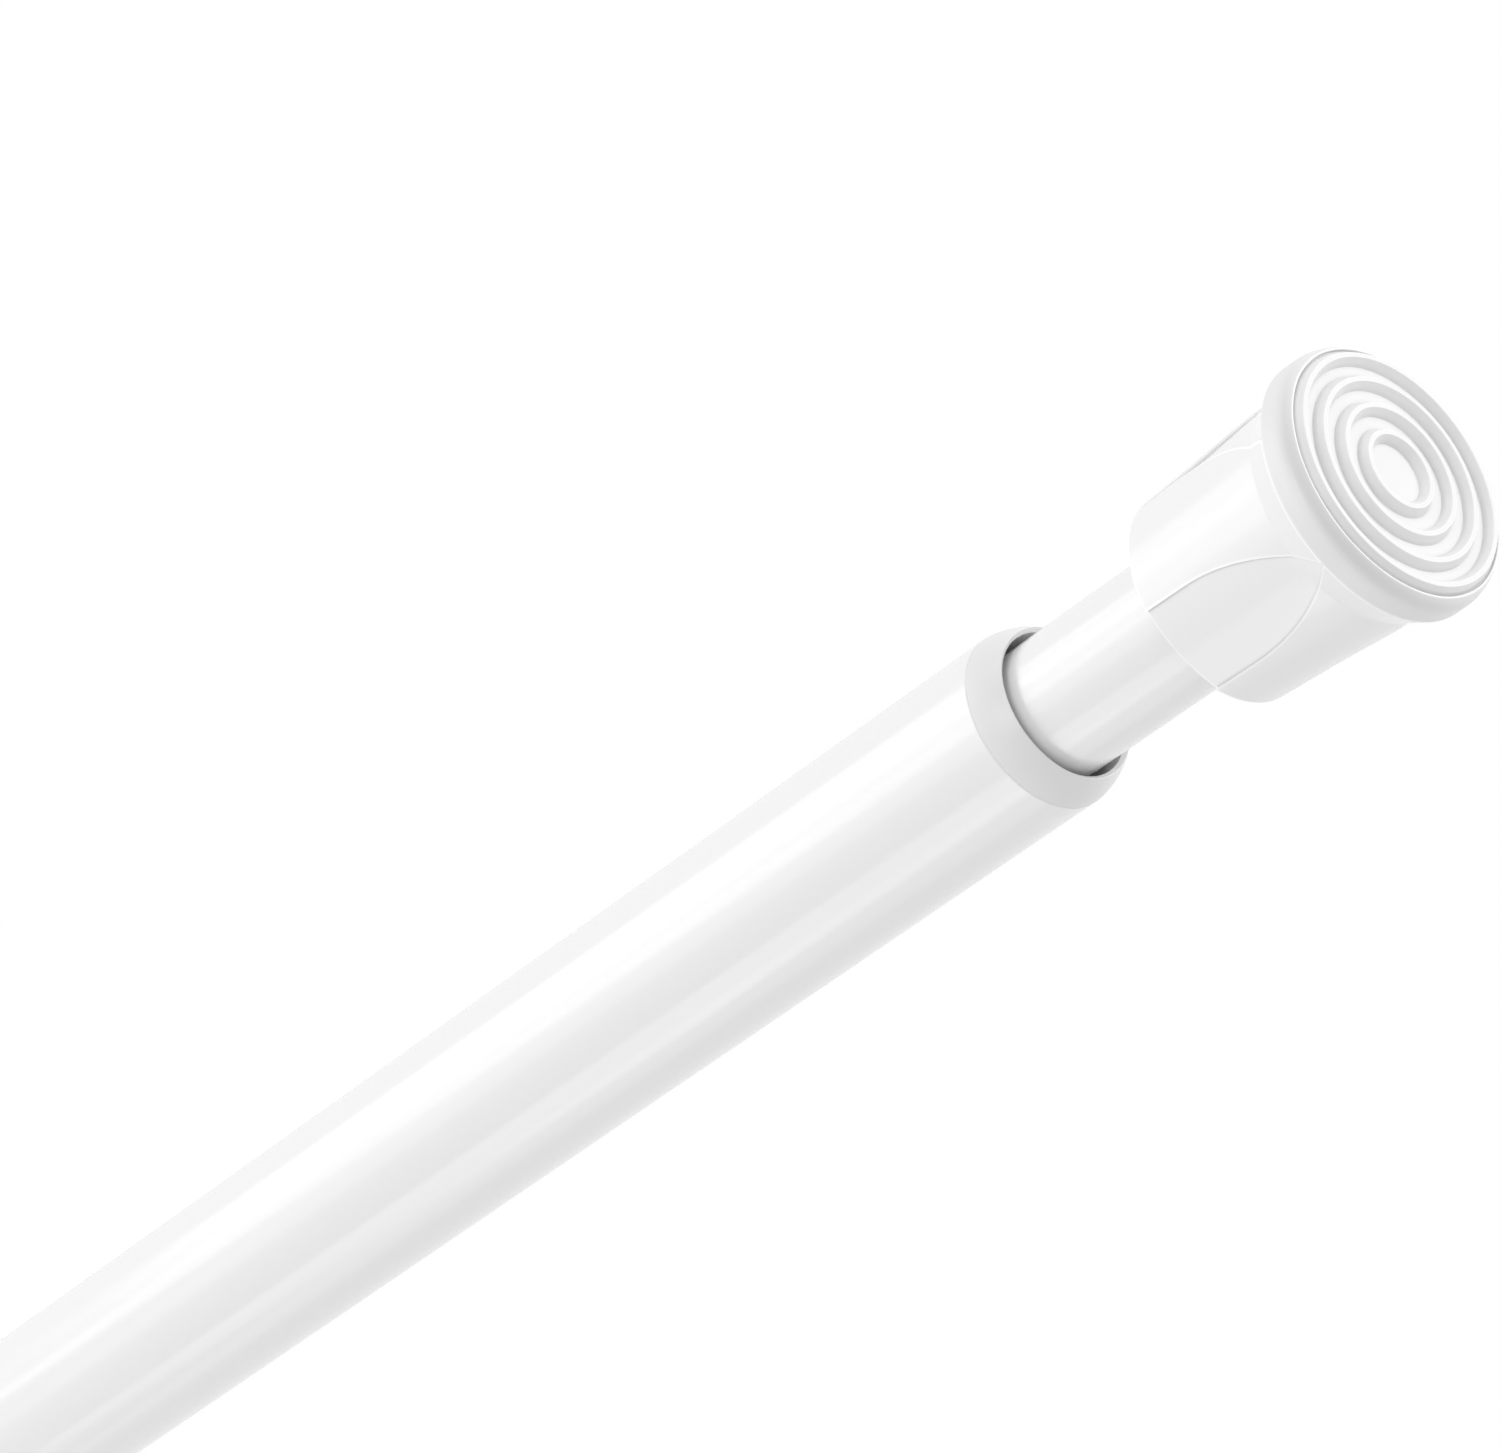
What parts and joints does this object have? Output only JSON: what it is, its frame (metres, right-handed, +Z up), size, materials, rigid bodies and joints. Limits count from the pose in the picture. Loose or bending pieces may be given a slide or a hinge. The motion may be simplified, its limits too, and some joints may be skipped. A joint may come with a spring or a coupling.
{
  "type": "spring tension rod",
  "caption": "White telescoping tension rod with a twist lock, an inner pressure spring, flared end caps with pointed-arch recesses and soft ringed feet.",
  "frame": {"origin": "centre of the fixed foot's face, in the plane of its ring crests", "axes": "+X along the rod towards the sliding foot, +Z up; an end cap's upright arches face +Y and -Y"},
  "size_m": [0.406, 0.0232, 0.0232],
  "materials": {
    "tube_paint": "gloss",
    "collar_plastic": "satin",
    "cap_plastic": "gloss",
    "pad_rubber": "matte",
    "lock_plastic": "satin",
    "zinc_steel": "satin",
    "spring_steel": "satin"
  },
  "bodies": {
    "outer_group": {"outer_tube": "tube_paint", "mouth_collar": "collar_plastic", "outer_end_cap": "cap_plastic", "outer_end_pad": "pad_rubber"},
    "brake_group": {"brake_sleeve": "lock_plastic"},
    "wedge_group": {"wedge_nut": "lock_plastic"},
    "plunger_group": {"plunger_rod": "zinc_steel", "thrust_collar": "zinc_steel", "retaining_clip": "zinc_steel", "end_stop": "zinc_steel", "spring_follower": "zinc_steel"},
    "inner_group": {"inner_tube": "tube_paint", "tail_bush": "lock_plastic", "spring_stop": "lock_plastic", "tension_spring": "spring_steel", "inner_end_cap": "cap_plastic", "inner_end_pad": "pad_rubber"}
  },
  "joints": [
    {"name": "telescope", "type": "slide", "parent": "outer_group", "child": "brake_group", "axis": [1, 0, 0], "range_m": [0, 0.204]},
    {"name": "wedge_travel", "type": "slide", "parent": "brake_group", "child": "wedge_group", "axis": [1, 0, 0], "range_m": [0, 0.003]},
    {"name": "twist", "type": "hinge", "parent": "brake_group", "child": "plunger_group", "pos_m": [0.06, 0, 0], "axis": [1, 0, 0], "range_deg": [0, 540]},
    {"name": "spring_stroke", "type": "slide", "parent": "plunger_group", "child": "inner_group", "axis": [1, 0, 0], "range_m": [-0.0172, 0], "stiffness_N_per_m": 2500, "springref_m": 0.002, "deforming": ["tension_spring"]}
  ],
  "couplings": [
    {"joint": "wedge_travel", "follows": "twist", "m_per_rad": 0.000318}
  ]
}
